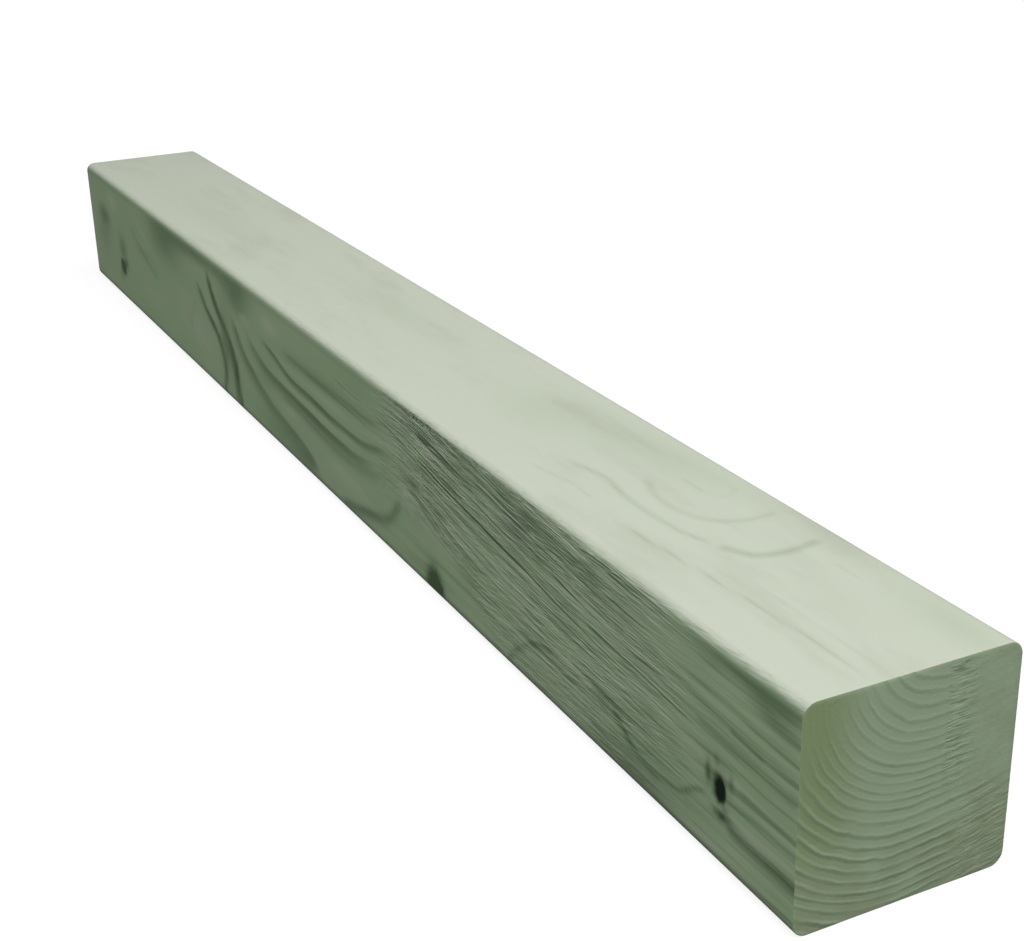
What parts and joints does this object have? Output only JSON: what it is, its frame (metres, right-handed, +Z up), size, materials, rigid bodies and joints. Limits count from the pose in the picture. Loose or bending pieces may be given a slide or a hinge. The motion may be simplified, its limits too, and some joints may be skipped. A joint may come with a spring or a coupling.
{
  "type": "square timber",
  "caption": "Length of planed, green pressure-treated softwood with a square section, rounded long edges and square sawn ends, used as a post, rail or bearer.",
  "frame": {"origin": "middle of the planed face that the timber lies on", "axes": "+X along the grain towards the sawn end that faces the viewer, +Y across, +Z up"},
  "size_m": [1, 0.095, 0.095],
  "materials": {
    "treated_softwood": "planed, green pressure-treated, unsealed"
  },
  "bodies": {
    "root": {"square_timber": "treated_softwood"}
  },
  "joints": []
}
